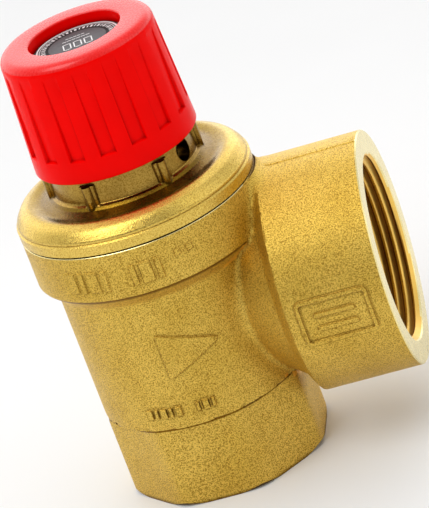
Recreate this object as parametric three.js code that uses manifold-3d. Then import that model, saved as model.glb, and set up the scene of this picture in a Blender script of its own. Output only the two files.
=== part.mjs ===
// Pressure relief valve with an angle body, a spring bonnet and a turning test knob.
// Millimetres, +Z up along the spindle, outlet along +X.
// The origin is the middle of the object's box, on the plane of the inlet face.
import * as THREE from 'three';
import { mergeVertices } from 'three/addons/utils/BufferGeometryUtils.js';
import Module from 'manifold-3d';

const wasm = await Module();
wasm.setup();

// Driving dimensions
const GAP = 0.3;                    // clearance between neighbouring pieces
const SIDES = 36;                   // facets round the housing and the knob
const INNER_SIDES = 24;             // facets round a turned piece inside them
const SMALL_SIDES = 16;             // facets round the spindle and its fasteners

const INLET_ACROSS_FLATS = 50;      // octagon on the inlet boss
const INLET_BOSS_HEIGHT = 22.2;
const INLET_CORNER_R = 26.8;        // the octagon's corners are turned down to it
const INLET_THREAD_R = 19.5;        // minor radius of a G 1 1/4 female thread
const INLET_THREAD_DEPTH = 18;
const OUTLET_THREAD_R = 22.4;       // minor radius of a G 1 1/2 female thread
const OUTLET_THREAD_DEPTH = 20;
const OUTLET_FACE_X = 56.3;         // from the spindle's axis
const OUTLET_AXIS_Z = 42.7;
const OUTLET_BOSS_R = 29.85;
const OUTLET_BOSS_BACK_X = 31.2;
const OUTLET_NECK_R = 18.9;         // where the boss's back leaves the barrel
const OUTLET_NECK_X = 20;
const OUTLET_SHOULDER_R = 25.6;     // where that back turns steeper
const OUTLET_SHOULDER_X = 28.7;
const OUTLET_PORT_R = 15.5;

const BARREL_R = 26.5;
const CHAMBER_R = 22.5;
const COLLAR_R = 30.5;
const COLLAR_BOTTOM_Z = 61;
const BODY_TOP_Z = 73.5;
const COLLAR_BORE_R = 27;
const LEDGE_Z = 64.2;               // the diaphragm is clamped on it

const SEAT_Z = 38;
const SEAT_BORE_R = 13.5;
const SEAT_TUBE_R = 17;

const RING_R = 30.3;                // flange of the bonnet
const RING_TOP_Z = 77;
const NECK_LEDGE_R = 19.6;
const NECK_LEDGE_Z = 81.3;
const NECK_R = 18;
const NECK_TOP_Z = 105;
const SPRING_BORE_R = 15;
const RIB_COUNT = 6;
const RIB_FIRST_DEG = 10;
const VENT_DEG = -22.5;
const VENT_Z = 85.2;
const VENT_R = 2.9;

const CAP_BOTTOM_Z = 88.5;
const CAP_TOP_Z = 119.3;
const CAP_BOTTOM_R = 20.9;
const CAP_TOP_R = 19.35;
const CAP_BORE_R = 18.8;
const FLUTE_COUNT = 16;
const FLUTE_WIDTH_DEG = 11;
const FLUTE_FIRST_DEG = 7.1;
const FLUTE_FLOOR_R = 19.75;
const FLUTE_BOTTOM_Z = 94.4;
const RECESS_R = 11.75;
const RECESS_FLOOR_Z = 115.6;
const POCKET_R = 7.5;
const POCKET_FLOOR_Z = 109.5;

const LIFT_RISE = 2;                // rise of the knob over its turn
const LIFT_TURN_DEG = 40;
const LUG_WIDTH_DEG = 10;

const SPINDLE_R = 2.5;
const SPINDLE_BOTTOM_Z = 69.5;
const SPINDLE_TOP_Z = 115;
const CLIP_Z = 70.7;
const CLIP_THICKNESS = 1;

const SEAL_R = 15.5;
const SEAL_THICKNESS = 3.3;
const DISC_R = 18.2;
const STUD_R = 5.8;
const STUD_TOP_Z = 71.8;
const FLANGE_TOP_Z = 63;
const DIAPHRAGM_THICKNESS = 2;
const PLATE_R = 20;
const PLATE_THICKNESS = 1.6;

const SPRING_MEAN_R = 12;
const SPRING_WIRE_R = 1.8;
const SPRING_TURNS = 4.75;
const UPPER_PLATE_Z = 96.3;
const UPPER_PLATE_THICKNESS = 2;
const NUT_R = 14.7;
const NUT_HEIGHT = 5.4;

// Places that follow from the driving dimensions
const SPINDLE_AXIS_X = -(OUTLET_FACE_X - COLLAR_R) / 2;
const SEAL_BOTTOM_Z = SEAT_Z + GAP;
const DIAPHRAGM_Z = FLANGE_TOP_Z + GAP;
const PLATE_Z = DIAPHRAGM_Z + DIAPHRAGM_THICKNESS + GAP;
const ON_PLATE_Z = PLATE_Z + PLATE_THICKNESS + GAP;
const SPRING_PLATE_THICKNESS = 1.7;
const SPRING_BOTTOM_Z = ON_PLATE_Z + SPRING_PLATE_THICKNESS + GAP;
const SPRING_TOP_Z = UPPER_PLATE_Z - GAP;
const NUT_Z = UPPER_PLATE_Z + UPPER_PLATE_THICKNESS + GAP;
const DIAPHRAGM_RIM_Z = LEDGE_Z + GAP;
const SLIP_RING_Z = DIAPHRAGM_RIM_Z + DIAPHRAGM_THICKNESS + GAP;
const SLIP_RING_THICKNESS = 1.1;
const SKIRT_Z = SLIP_RING_Z + SLIP_RING_THICKNESS + GAP;
const PILOT_R = SPINDLE_R + 0.5;    // running clearance round the spindle

const radians = (degrees) => THREE.MathUtils.degToRad(degrees);

// Shapes

// One closed body: shared corners merged, no flat triangles, faces pointing out.
function closed(geometry) {
  const bare = geometry.clone();
  bare.deleteAttribute('normal');
  bare.deleteAttribute('uv');
  const merged = mergeVertices(bare.index ? bare.toNonIndexed() : bare, 1e-4);
  const place = merged.getAttribute('position');
  const corner = (i) => new THREE.Vector3().fromBufferAttribute(place, i);
  const triangles = [];
  let volume = 0;
  for (let i = 0; i < merged.index.count; i += 3) {
    const [a, b, c] = [0, 1, 2].map((k) => merged.index.getX(i + k));
    if (a === b || b === c || c === a) continue;
    triangles.push([a, b, c]);
    volume += corner(a).dot(corner(b).cross(corner(c)));
  }
  const outward = volume > 0 ? triangles : triangles.map(([a, b, c]) => [a, c, b]);
  merged.setIndex(outward.flat());
  return merged;
}

function solid(geometry) {
  const body = closed(geometry);
  return new wasm.Manifold(new wasm.Mesh({
    numProp: 3,
    vertProperties: new Float32Array(body.getAttribute('position').array),
    triVerts: new Uint32Array(body.index.array),
  }));
}

function geometryOf(manifold) {
  const made = manifold.getMesh();
  const geometry = new THREE.BufferGeometry();
  geometry.setAttribute('position', new THREE.BufferAttribute(made.vertProperties, 3));
  geometry.setIndex(new THREE.BufferAttribute(made.triVerts, 1));
  return geometry;
}

// A profile of [radius, z] points turned about the Z axis.
function turned(profile, sides = SIDES) {
  const points = profile.map(([r, z]) => new THREE.Vector2(r, z));
  return new THREE.LatheGeometry(points, sides).rotateX(Math.PI / 2);
}

// A closed ring section, whose first point is repeated at its end.
function turnedRing(section, sides = SIDES) {
  return turned([...section, section[0]], sides);
}

function ring(inner, outer, low, high, sides = INNER_SIDES) {
  return turnedRing([[inner, low], [outer, low], [outer, high], [inner, high]], sides);
}

function rod(radius, low, high, sides = SMALL_SIDES) {
  return turned([[0, low], [radius, low], [radius, high], [0, high]], sides);
}

// A profile of [radius, x] points turned about the outlet's axis.
function turnedAboutOutlet(profile) {
  const points = profile.map(([r, x]) => new THREE.Vector2(r, x));
  const geometry = new THREE.LatheGeometry(points, SIDES).rotateZ(-Math.PI / 2);
  return geometry.translate(0, 0, OUTLET_AXIS_Z);
}

// An upright prism with flat sides, which one of its flats turns to +X.
function prism(acrossFlats, count, low, high) {
  const circumradius = acrossFlats / 2 / Math.cos(Math.PI / count);
  const geometry = new THREE.CylinderGeometry(circumradius, circumradius, high - low, count);
  geometry.rotateX(Math.PI / 2);
  geometry.rotateZ(Math.PI / 2 + Math.PI / count);
  return geometry.translate(0, 0, (low + high) / 2);
}

// Part of a ring between two angles, with a top that may rise from one end to the other.
function ringSector({ inner, outer, from, to, low, high, highEnd = high, steps = 4 }) {
  const corners = [];
  for (let i = 0; i <= steps; i += 1) {
    const angle = radians(from + (to - from) * i / steps);
    const top = high + (highEnd - high) * i / steps;
    for (const [r, z] of [[inner, low], [outer, low], [outer, top], [inner, top]]) {
      corners.push(r * Math.cos(angle), r * Math.sin(angle), z);
    }
  }
  const faces = [0, 2, 1, 0, 3, 2];
  for (let i = 0; i < steps; i += 1) {
    for (let k = 0; k < 4; k += 1) {
      const [a, b] = [4 * i + k, 4 * i + (k + 1) % 4];
      faces.push(a, b, b + 4, a, b + 4, a + 4);
    }
  }
  const end = 4 * steps;
  faces.push(end, end + 1, end + 2, end, end + 2, end + 3);
  const geometry = new THREE.BufferGeometry();
  geometry.setAttribute('position', new THREE.Float32BufferAttribute(corners, 3));
  geometry.setIndex(faces);
  return geometry;
}

// Points of an arc in a profile, both ends included.
function arc(centreR, centreZ, radius, fromDeg, toDeg, steps) {
  return Array.from({ length: steps + 1 }, (_, i) => {
    const angle = radians(fromDeg + (toDeg - fromDeg) * i / steps);
    return [centreR + radius * Math.cos(angle), centreZ + radius * Math.sin(angle)];
  });
}

class Helix extends THREE.Curve {
  constructor(radius, low, high, turns) {
    super();
    Object.assign(this, { radius, low, high, turns });
  }

  getPoint(t, target = new THREE.Vector3()) {
    const angle = 2 * Math.PI * this.turns * t;
    const z = this.low + (this.high - this.low) * t;
    return target.set(this.radius * Math.cos(angle), this.radius * Math.sin(angle), z);
  }
}

// Materials
const finish = (color, roughness, metalness) => (
  new THREE.MeshStandardMaterial({ color, roughness, metalness }));
const FORGED_BRASS = () => finish(0xc9a34c, 0.5, 1);
const TURNED_BRASS = () => finish(0xd8b45a, 0.3, 1);
const STEEL = () => finish(0xb8bcc0, 0.35, 1);
const RUBBER = () => finish(0x1c1c1c, 0.85, 0);
const RED_PLASTIC = () => finish(0xf01810, 0.35, 0);
const WHITE_PLASTIC = () => finish(0xd9d9d2, 0.5, 0);
const PRINTED_METAL = () => finish(0x8d8d8d, 0.4, 0.6);

// The valve body: an octagon inlet boss, a barrel, a collar and a round outlet boss
function body() {
  const shell = solid(turned([
    [0, 1], [24, 1], [24, INLET_BOSS_HEIGHT], [BARREL_R, INLET_BOSS_HEIGHT],
    [BARREL_R, COLLAR_BOTTOM_Z - 5.5], [BARREL_R + 0.8, COLLAR_BOTTOM_Z - 3.5],
    [COLLAR_R - 0.5, COLLAR_BOTTOM_Z], [COLLAR_R, COLLAR_BOTTOM_Z + 1.2],
    [COLLAR_R, BODY_TOP_Z - 0.3], [COLLAR_R - 0.3, BODY_TOP_Z], [0, BODY_TOP_Z],
  ]));
  const octagon = solid(prism(INLET_ACROSS_FLATS, 8, 0, INLET_BOSS_HEIGHT));
  const octagonEdge = solid(turned([
    [0, 0], [INLET_CORNER_R - 1.4, 0], [INLET_CORNER_R, 1.4], [INLET_CORNER_R, INLET_BOSS_HEIGHT],
    [0, INLET_BOSS_HEIGHT],
  ]));
  const outlet = solid(turnedAboutOutlet([
    [0, 0], [OUTLET_NECK_R, 0], [OUTLET_NECK_R, OUTLET_NECK_X], [OUTLET_SHOULDER_R, OUTLET_SHOULDER_X],
    [OUTLET_BOSS_R - 0.6, OUTLET_BOSS_BACK_X - 0.3], [OUTLET_BOSS_R, OUTLET_BOSS_BACK_X + 0.5],
    [OUTLET_BOSS_R, OUTLET_FACE_X - 0.5], [OUTLET_BOSS_R - 0.5, OUTLET_FACE_X], [0, OUTLET_FACE_X],
  ]));
  const bore = solid(turned([
    [0, -1], [INLET_THREAD_R + 2, -1], [INLET_THREAD_R, 1], [INLET_THREAD_R, INLET_THREAD_DEPTH],
    [SEAT_BORE_R, INLET_THREAD_DEPTH + 2.5], [SEAT_BORE_R, SEAT_Z - 0.5], [SEAT_BORE_R + 0.5, SEAT_Z],
    [SEAT_TUBE_R - 1.2, SEAT_Z], [SEAT_TUBE_R, SEAT_Z - 2], [SEAT_TUBE_R, 26], [SEAT_TUBE_R + 1, 25],
    [CHAMBER_R - 1, 25], [CHAMBER_R, 26], [CHAMBER_R, LEDGE_Z], [COLLAR_BORE_R, LEDGE_Z],
    [COLLAR_BORE_R, BODY_TOP_Z + 1], [0, BODY_TOP_Z + 1],
  ]));
  const socketX = OUTLET_FACE_X - OUTLET_THREAD_DEPTH;
  const socket = solid(turnedAboutOutlet([
    [0, SEAT_TUBE_R + 1.5], [OUTLET_PORT_R, SEAT_TUBE_R + 1.5], [OUTLET_PORT_R, socketX - 2],
    [OUTLET_THREAD_R, socketX], [OUTLET_THREAD_R, OUTLET_FACE_X - 1.6],
    [OUTLET_THREAD_R + 2.6, OUTLET_FACE_X + 1], [0, OUTLET_FACE_X + 1],
  ]));
  const outside = shell.add(octagon.intersect(octagonEdge)).add(outlet);
  return geometryOf(outside.subtract(bore).subtract(socket));
}

// The bonnet: a domed flange, a ribbed neck with a vent, and ramps on its top face
function bonnet() {
  const domeAndNeck = [
    [RING_R - 0.3, BODY_TOP_Z + GAP], [RING_R, BODY_TOP_Z + 0.6], [RING_R, RING_TOP_Z - 0.3],
    [RING_R - 0.6, RING_TOP_Z + 0.1], [RING_R - 0.7, RING_TOP_Z + 0.5], [29, 78.5], [28, 79.5],
    [26.6, 80.4], [25, 80.8], [23.4, 80.5], [21.8, 79.9], [20.4, 80.1],
    [NECK_LEDGE_R, NECK_LEDGE_Z], [NECK_LEDGE_R - 0.6, NECK_LEDGE_Z + 0.3],
    [NECK_R, CAP_BOTTOM_Z], [NECK_R, NECK_TOP_Z],
  ];
  const skirtR = COLLAR_BORE_R - GAP;
  const shell = solid(turnedRing([
    [CHAMBER_R, SKIRT_Z], [skirtR - 0.5, SKIRT_Z], [skirtR, SKIRT_Z + 0.5],
    [skirtR, BODY_TOP_Z + GAP], ...domeAndNeck, [SPRING_BORE_R, NECK_TOP_Z], [SPRING_BORE_R, 79],
    [CHAMBER_R - 3, 76.5], [CHAMBER_R, 74],
  ]));
  let made = shell;
  for (let i = 0; i < RIB_COUNT; i += 1) {
    const angle = radians(RIB_FIRST_DEG + i * 360 / RIB_COUNT);
    const rib = rod(1.35, 80.6, 87, 12).translate(18.9 * Math.cos(angle), 18.9 * Math.sin(angle), 0);
    made = made.add(solid(rib));
    made = made.add(solid(liftRamp(RIB_FIRST_DEG + i * 360 / RIB_COUNT)));
  }
  return geometryOf(made.subtract(solid(ventDrill())));
}

function liftRamp(lugDeg) {
  const from = lugDeg + LUG_WIDTH_DEG / 2;
  return ringSector({
    inner: SPRING_BORE_R + 0.4, outer: NECK_R - 0.4, from, to: from + LIFT_TURN_DEG,
    low: NECK_TOP_Z - 1, high: NECK_TOP_Z, highEnd: NECK_TOP_Z + LIFT_RISE, steps: 5,
  });
}

function ventDrill() {
  const drill = new THREE.CylinderGeometry(VENT_R, VENT_R, 12, 20).rotateZ(Math.PI / 2);
  return drill.translate(NECK_R, 0, VENT_Z).rotateZ(radians(VENT_DEG));
}

// The test knob: a fluted cap with a recess for the plate and lugs that ride on the ramps
function cap() {
  const edge = 2.5;
  const shell = solid(turnedRing([
    [CAP_BORE_R, CAP_BOTTOM_Z], [CAP_BOTTOM_R - 0.4, CAP_BOTTOM_Z], [CAP_BOTTOM_R, CAP_BOTTOM_Z + 0.4],
    ...arc(CAP_TOP_R - edge, CAP_TOP_Z - edge, edge, 0, 90, 4),
    [RECESS_R + 0.4, CAP_TOP_Z], [RECESS_R, CAP_TOP_Z - 0.4], [RECESS_R, RECESS_FLOOR_Z],
    [POCKET_R, RECESS_FLOOR_Z], [POCKET_R, POCKET_FLOOR_Z], [PILOT_R, POCKET_FLOOR_Z],
    [PILOT_R, POCKET_FLOOR_Z - 2.3], [POCKET_R + 2, POCKET_FLOOR_Z - 2.3], [POCKET_R + 2, 113.4],
    [17.2, 113.4], [17.2, 111.5], [CAP_BORE_R, 108.5],
  ]));
  let made = shell;
  for (let i = 0; i < FLUTE_COUNT; i += 1) {
    const middle = FLUTE_FIRST_DEG + i * 360 / FLUTE_COUNT;
    made = made.subtract(solid(ringSector({
      inner: FLUTE_FLOOR_R, outer: CAP_BOTTOM_R + 2, from: middle - FLUTE_WIDTH_DEG / 2,
      to: middle + FLUTE_WIDTH_DEG / 2, low: FLUTE_BOTTOM_Z, high: CAP_TOP_Z, steps: 2,
    })));
  }
  for (let i = 0; i < RIB_COUNT; i += 1) {
    made = made.add(solid(lug(RIB_FIRST_DEG + i * 360 / RIB_COUNT)));
  }
  return geometryOf(made);
}

function lug(middleDeg) {
  return ringSector({
    inner: SPRING_BORE_R + 0.5, outer: NECK_R - 0.2, from: middleDeg - LUG_WIDTH_DEG / 2,
    to: middleDeg + LUG_WIDTH_DEG / 2, low: NECK_TOP_Z + GAP, high: 114, steps: 2,
  });
}

function dataPlate() {
  const low = RECESS_FLOOR_Z + GAP;
  return rod(RECESS_R - 0.35, low, low + 0.8, SIDES);
}

// The spindle and what it carries
function spindle() {
  const grooveLow = CLIP_Z - GAP;
  const grooveHigh = CLIP_Z + CLIP_THICKNESS + GAP;
  const grooveR = SPINDLE_R - 0.6;
  return closed(turned([
    [0, SPINDLE_BOTTOM_Z], [SPINDLE_R, SPINDLE_BOTTOM_Z], [SPINDLE_R, grooveLow],
    [grooveR, grooveLow], [grooveR, grooveHigh], [SPINDLE_R, grooveHigh],
    [SPINDLE_R, SPINDLE_TOP_Z - 0.5], [SPINDLE_R - 0.5, SPINDLE_TOP_Z], [0, SPINDLE_TOP_Z],
  ], SMALL_SIDES));
}

function spindleClip() {
  return closed(ringSector({
    inner: SPINDLE_R - 0.3, outer: SPINDLE_R + 1.1, from: -140, to: 140,
    low: CLIP_Z, high: CLIP_Z + CLIP_THICKNESS, steps: 18,
  }));
}

function liftWasher() {
  const low = POCKET_FLOOR_Z + GAP;
  return closed(ring(SPINDLE_R + GAP, POCKET_R - 0.5, low, low + 1.2, SMALL_SIDES));
}

function spindleNut() {
  const low = POCKET_FLOOR_Z + 2 * GAP + 1.2;
  const hexagon = solid(prism(8, 6, low, low + 3.4));
  return geometryOf(hexagon.subtract(solid(rod(SPINDLE_R + GAP, low - 1, low + 5))));
}

// The valve disc and what is clamped to it
function discHolder() {
  const skirtZ = SEAT_Z + 1.5;
  const recessZ = SEAL_BOTTOM_Z + SEAL_THICKNESS + GAP;
  return closed(turned([
    [0, 50], [2.3, 50], [2.3, recessZ], [SEAL_R + GAP, recessZ], [SEAL_R + GAP, skirtZ],
    [DISC_R, skirtZ], [DISC_R, 45], [DISC_R - 1.5, 46.5], [8, 46.5], [8, 58.5], [13, 60],
    [13, FLANGE_TOP_Z], [STUD_R, FLANGE_TOP_Z], [STUD_R, STUD_TOP_Z], [SPINDLE_R + 1.4, STUD_TOP_Z],
    [SPINDLE_R + 1.4, 62], [0, 62],
  ], INNER_SIDES));
}

function seatSeal() {
  const top = SEAL_BOTTOM_Z + SEAL_THICKNESS;
  return closed(ring(2.3, SEAL_R, SEAL_BOTTOM_Z, top));
}

function sealWasher() {
  const top = SEAL_BOTTOM_Z - GAP;
  return closed(ring(2.3, 8, top - 1.4, top, SMALL_SIDES));
}

function sealScrew() {
  const headTop = SEAL_BOTTOM_Z - 2 * GAP - 1.4;
  const screw = solid(turned([
    [0, headTop - 2.4], [3.4, headTop - 2.4], [4, headTop - 1.8], [4, headTop], [2, headTop],
    [2, 49], [0, 49],
  ], SMALL_SIDES));
  const slot = new THREE.BoxGeometry(10, 1.2, 2.4).translate(0, 0, headTop - 2.4);
  return geometryOf(screw.subtract(solid(slot)));
}

// A rubber disc with a rolled fold between its clamped rim and its middle
function diaphragm() {
  const fold = [[15, 0], [16.8, -1.6], [18.6, -2.1], [20.4, -1.4]];
  const hole = STUD_R + GAP;
  const rimR = COLLAR_BORE_R - 0.4;
  const rimTop = DIAPHRAGM_RIM_Z + DIAPHRAGM_THICKNESS;
  const under = fold.map(([r, drop]) => [r, DIAPHRAGM_Z + drop]);
  const over = fold.map(([r, drop]) => [r, DIAPHRAGM_Z + drop + DIAPHRAGM_THICKNESS]).reverse();
  return closed(turnedRing([
    [hole, DIAPHRAGM_Z], ...under, [CHAMBER_R - 0.5, DIAPHRAGM_RIM_Z], [rimR, DIAPHRAGM_RIM_Z],
    [rimR, rimTop], [CHAMBER_R - 0.8, rimTop], ...over, [hole, DIAPHRAGM_Z + DIAPHRAGM_THICKNESS],
  ], INNER_SIDES));
}

function pressurePlate() {
  const top = PLATE_Z + PLATE_THICKNESS;
  const hole = STUD_R + GAP;
  return closed(turnedRing([
    [hole, PLATE_Z], [PLATE_R - 5, PLATE_Z], [PLATE_R - 0.8, PLATE_Z + 0.4], [PLATE_R, PLATE_Z + 1.4],
    [PLATE_R - 0.6, top + 0.6], [PLATE_R - 1.6, top], [hole, top],
  ], INNER_SIDES));
}

function diaphragmNut() {
  const web = STUD_TOP_Z + GAP;
  const hexagon = solid(prism(16, 6, ON_PLATE_Z, web + 2));
  const thread = solid(rod(STUD_R + GAP, ON_PLATE_Z - 1, web));
  const pilot = solid(rod(SPINDLE_R + 0.4, web - 1, web + 3));
  return geometryOf(hexagon.subtract(thread).subtract(pilot));
}

// The load on the disc: spring, plates and adjusting nut
function lowerSpringPlate() {
  const top = ON_PLATE_Z + SPRING_PLATE_THICKNESS;
  const wall = SPRING_MEAN_R + SPRING_WIRE_R + 0.4;
  return closed(turnedRing([
    [9.7, ON_PLATE_Z], [wall + 0.4, ON_PLATE_Z], [wall + 0.8, ON_PLATE_Z + 0.5], [wall + 0.8, top + 1.8],
    [wall, top + 1.8], [wall, top], [9.7, top],
  ], INNER_SIDES));
}

function spring() {
  const path = new Helix(
    SPRING_MEAN_R, SPRING_BOTTOM_Z + SPRING_WIRE_R, SPRING_TOP_Z - SPRING_WIRE_R, SPRING_TURNS);
  const wire = new THREE.Shape().absarc(0, 0, SPRING_WIRE_R, 0, 2 * Math.PI);
  return closed(new THREE.ExtrudeGeometry(wire, {
    steps: Math.round(SPRING_TURNS * 14), curveSegments: 3, bevelEnabled: false, extrudePath: path,
  }));
}

function upperSpringPlate() {
  const top = UPPER_PLATE_Z + UPPER_PLATE_THICKNESS;
  return closed(turnedRing([
    [PILOT_R, UPPER_PLATE_Z - 2], [9.4, UPPER_PLATE_Z - 2], [9.9, UPPER_PLATE_Z - 1.5],
    [9.9, UPPER_PLATE_Z], [14, UPPER_PLATE_Z], [14, top], [PILOT_R, top],
  ], INNER_SIDES));
}

function adjustingNut() {
  const top = NUT_Z + NUT_HEIGHT;
  let nut = solid(turnedRing([
    [PILOT_R, NUT_Z], [NUT_R - 0.5, NUT_Z], [NUT_R, NUT_Z + 0.5], [NUT_R, top - 0.5],
    [NUT_R - 0.5, top], [PILOT_R, top],
  ], INNER_SIDES));
  for (const side of [-1, 1]) {
    nut = nut.subtract(solid(rod(1.7, top - 3, top + 1, 12).translate(9 * side, 0, 0)));
  }
  return geometryOf(nut);
}

// The ring that lets the bonnet turn on the diaphragm while it is screwed down
function slipRing() {
  const outer = COLLAR_BORE_R - 0.4;
  return closed(ring(CHAMBER_R, outer, SLIP_RING_Z, SLIP_RING_Z + SLIP_RING_THICKNESS));
}

// The assembly
const pieces = {
  body: [body(), FORGED_BRASS()],
  bonnet: [bonnet(), FORGED_BRASS()],
  slip_ring: [slipRing(), WHITE_PLASTIC()],
  diaphragm: [diaphragm(), RUBBER()],
  spring: [spring(), STEEL()],
  upper_spring_plate: [upperSpringPlate(), STEEL()],
  adjusting_nut: [adjustingNut(), TURNED_BRASS()],
  spindle: [spindle(), STEEL()],
  spindle_clip: [spindleClip(), STEEL()],
  lift_washer: [liftWasher(), STEEL()],
  spindle_nut: [spindleNut(), STEEL()],
  cap: [cap(), RED_PLASTIC()],
  data_plate: [closed(dataPlate()), PRINTED_METAL()],
  disc_holder: [discHolder(), TURNED_BRASS()],
  seat_seal: [seatSeal(), RUBBER()],
  seal_washer: [sealWasher(), STEEL()],
  seal_screw: [sealScrew(), STEEL()],
  pressure_plate: [pressurePlate(), TURNED_BRASS()],
  diaphragm_nut: [diaphragmNut(), TURNED_BRASS()],
  lower_spring_plate: [lowerSpringPlate(), STEEL()],
};

const valve = new THREE.Group();
for (const [name, [geometry, material]] of Object.entries(pieces)) {
  const mesh = new THREE.Mesh(geometry, material);
  mesh.name = name;
  valve.add(mesh);
}
valve.position.x = SPINDLE_AXIS_X;

export default valve;
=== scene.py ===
"""A pressure relief valve: a forged brass angle body, a brass bonnet and a red fluted test knob."""
import math

import bmesh
import bpy
import numpy as np
from mathutils import Matrix, Vector


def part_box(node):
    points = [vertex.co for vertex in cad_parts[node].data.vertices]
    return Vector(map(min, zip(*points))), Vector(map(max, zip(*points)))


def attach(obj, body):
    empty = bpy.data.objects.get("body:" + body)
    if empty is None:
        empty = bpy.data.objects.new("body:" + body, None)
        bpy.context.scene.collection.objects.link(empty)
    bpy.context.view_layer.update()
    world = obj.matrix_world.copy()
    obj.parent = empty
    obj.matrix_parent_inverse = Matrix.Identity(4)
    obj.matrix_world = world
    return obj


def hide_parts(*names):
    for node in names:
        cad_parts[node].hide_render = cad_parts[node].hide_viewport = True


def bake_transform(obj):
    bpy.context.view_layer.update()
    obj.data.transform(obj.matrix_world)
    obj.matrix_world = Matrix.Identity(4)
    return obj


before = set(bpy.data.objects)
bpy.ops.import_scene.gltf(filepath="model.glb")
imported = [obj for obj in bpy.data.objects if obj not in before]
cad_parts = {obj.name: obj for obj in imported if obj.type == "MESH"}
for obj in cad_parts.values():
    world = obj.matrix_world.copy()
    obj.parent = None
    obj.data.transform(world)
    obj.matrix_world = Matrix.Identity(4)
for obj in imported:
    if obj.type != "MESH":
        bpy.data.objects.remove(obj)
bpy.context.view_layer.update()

# Places are in millimetres from the spindle's axis, with z = 0 on the inlet face and the
# outlet along +X. new_piece turns them into metres in the frame of the CAD model.
MM = 0.001
spindle_low, spindle_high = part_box("spindle")
AXIS_X = (spindle_low[0] + spindle_high[0]) / 2

# Body
ACROSS_FLATS = 50.0
BOSS_TOP_Z = 22.2
BOSS_CORNER_R = 26.75
BARREL_R = 26.5
COLLAR_R = 30.2
COLLAR_LOW_Z = 61.4
BODY_TOP_Z = 73.5
COLLAR_BORE_R = 27.0
LEDGE_Z = 64.2
CHAMBER_R = 22.5
SEAT_Z = 38.0
OUTLET_Z = 42.7
OUTLET_FACE_X = 56.3
OUTLET_BOSS_R = 29.85
OUTLET_BACK_X = 31.2
OUTLET_PORT_R = 15.5
SOCKET_BACK_X = 36.3
INLET_DEPTH = 18.0
THREAD_PITCH = 2.309
THREAD_HEIGHT = 1.45
OUTLET_MINOR_R = 22.42
INLET_MINOR_R = 19.48

# Bonnet
RING_R = 30.3
RING_TOP_Z = 76.9
NECK_R = 18.0
NECK_TOP_Z = 105.0
SPRING_BORE_R = 15.0
RIB_COUNT = 6
RIB_FIRST_DEG = 10.0
RIB_TOP_Z = 87.0
VENT_DEG = -22.5
VENT_Z = 85.2
VENT_R = 2.9

# Knob
CAP_LOW_Z = 88.5
CAP_TOP_Z = 119.3
CAP_LOW_R = 20.9
CAP_TOP_R = 19.35
FLUTE_COUNT = 16
FLUTE_WIDTH_DEG = 11.0
FLUTE_FLOOR_R = 19.7
FLUTE_TAPER = 0.0205
FLUTE_LOW_Z = 94.4
FLUTE_TOP_Z = 116.4
FLUTE_TURN_DEG = 7.1
RECESS_R = 11.75
RECESS_FLOOR_Z = 115.6
LUG_WIDTH_DEG = 10.0
LIFT_TURN_DEG = 40.0
LIFT_RISE = 2.0


# Meshes

def new_piece(name, points, faces):
    """A mesh object from points in millimetres about the spindle's axis."""
    metres = np.asarray(points, dtype=float) * MM
    metres[:, 0] += AXIS_X
    mesh = bpy.data.meshes.new(name)
    mesh.from_pydata(metres.tolist(), [], faces)
    piece = bpy.data.objects.new(name, mesh)
    bpy.context.collection.objects.link(piece)
    work = bmesh.new()
    work.from_mesh(mesh)
    bmesh.ops.remove_doubles(work, verts=work.verts, dist=1e-7)
    bmesh.ops.dissolve_degenerate(work, edges=work.edges, dist=1e-8)
    bmesh.ops.recalc_face_normals(work, faces=work.faces)
    work.to_mesh(mesh)
    work.free()
    return piece


def shade(piece, angle_deg=35):
    """Smooth shading, with sharp edges where faces meet at more than the angle."""
    piece.data.shade_smooth()
    piece.data.set_sharp_from_angle(angle=math.radians(angle_deg))


def rounded(corners, steps=4):
    """An outline through (r, z) corners; a third number rounds that corner to a radius."""
    outline = []
    for i, corner in enumerate(corners):
        here = np.array(corner[:2], dtype=float)
        if len(corner) < 3:
            outline.append(here)
            continue
        before = np.array(corners[i - 1][:2]) - here
        after = np.array(corners[(i + 1) % len(corners)][:2]) - here
        room = 0.48 * min(np.linalg.norm(before), np.linalg.norm(after))
        before /= np.linalg.norm(before)
        after /= np.linalg.norm(after)
        half = math.acos(np.clip(before @ after, -1, 1)) / 2
        reach = min(corner[2] / math.tan(half), room)
        bisector = (before + after) / np.linalg.norm(before + after)
        centre = here + bisector * reach / math.cos(half)
        first = here + before * reach - centre
        last = here + after * reach - centre
        start = math.atan2(first[1], first[0])
        sweep = math.atan2(last[1], last[0]) - start
        sweep = (sweep + math.pi) % (2 * math.pi) - math.pi
        radius = np.linalg.norm(first)
        for k in range(steps + 1):
            angle = start + sweep * k / steps
            outline.append(centre + radius * np.array([math.cos(angle), math.sin(angle)]))
    return np.array(outline)


def turned(name, outline, angles=None, shape=None):
    """A closed outline turned about the axis; shape(r, z, angle) may move its points."""
    if angles is None:
        angles = np.linspace(0, 2 * np.pi, 96, endpoint=False)
    radius = np.repeat(outline[:, :1], len(angles), axis=1)
    height = np.repeat(outline[:, 1:], len(angles), axis=1)
    angle = np.repeat(angles[None, :], len(outline), axis=0)
    if shape:
        radius, height = shape(radius, height, angle)
    points = np.stack([radius * np.cos(angle), radius * np.sin(angle), height], axis=-1)
    index = np.arange(radius.size).reshape(radius.shape)
    across = np.roll(index, -1, axis=1)
    faces = np.stack([index, across, np.roll(across, -1, axis=0), np.roll(index, -1, axis=0)], -1)
    open_ended = outline[0, 0] < 1e-6 and outline[-1, 0] < 1e-6
    rows = faces[:-1] if open_ended else faces
    return new_piece(name, points.reshape(-1, 3), rows.reshape(-1, 4).tolist())


def step_between(value, low, high):
    """0 below low, 1 above high and a smooth step between."""
    t = np.clip((value - low) / (high - low), 0, 1)
    return t * t * (3 - 2 * t)


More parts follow.
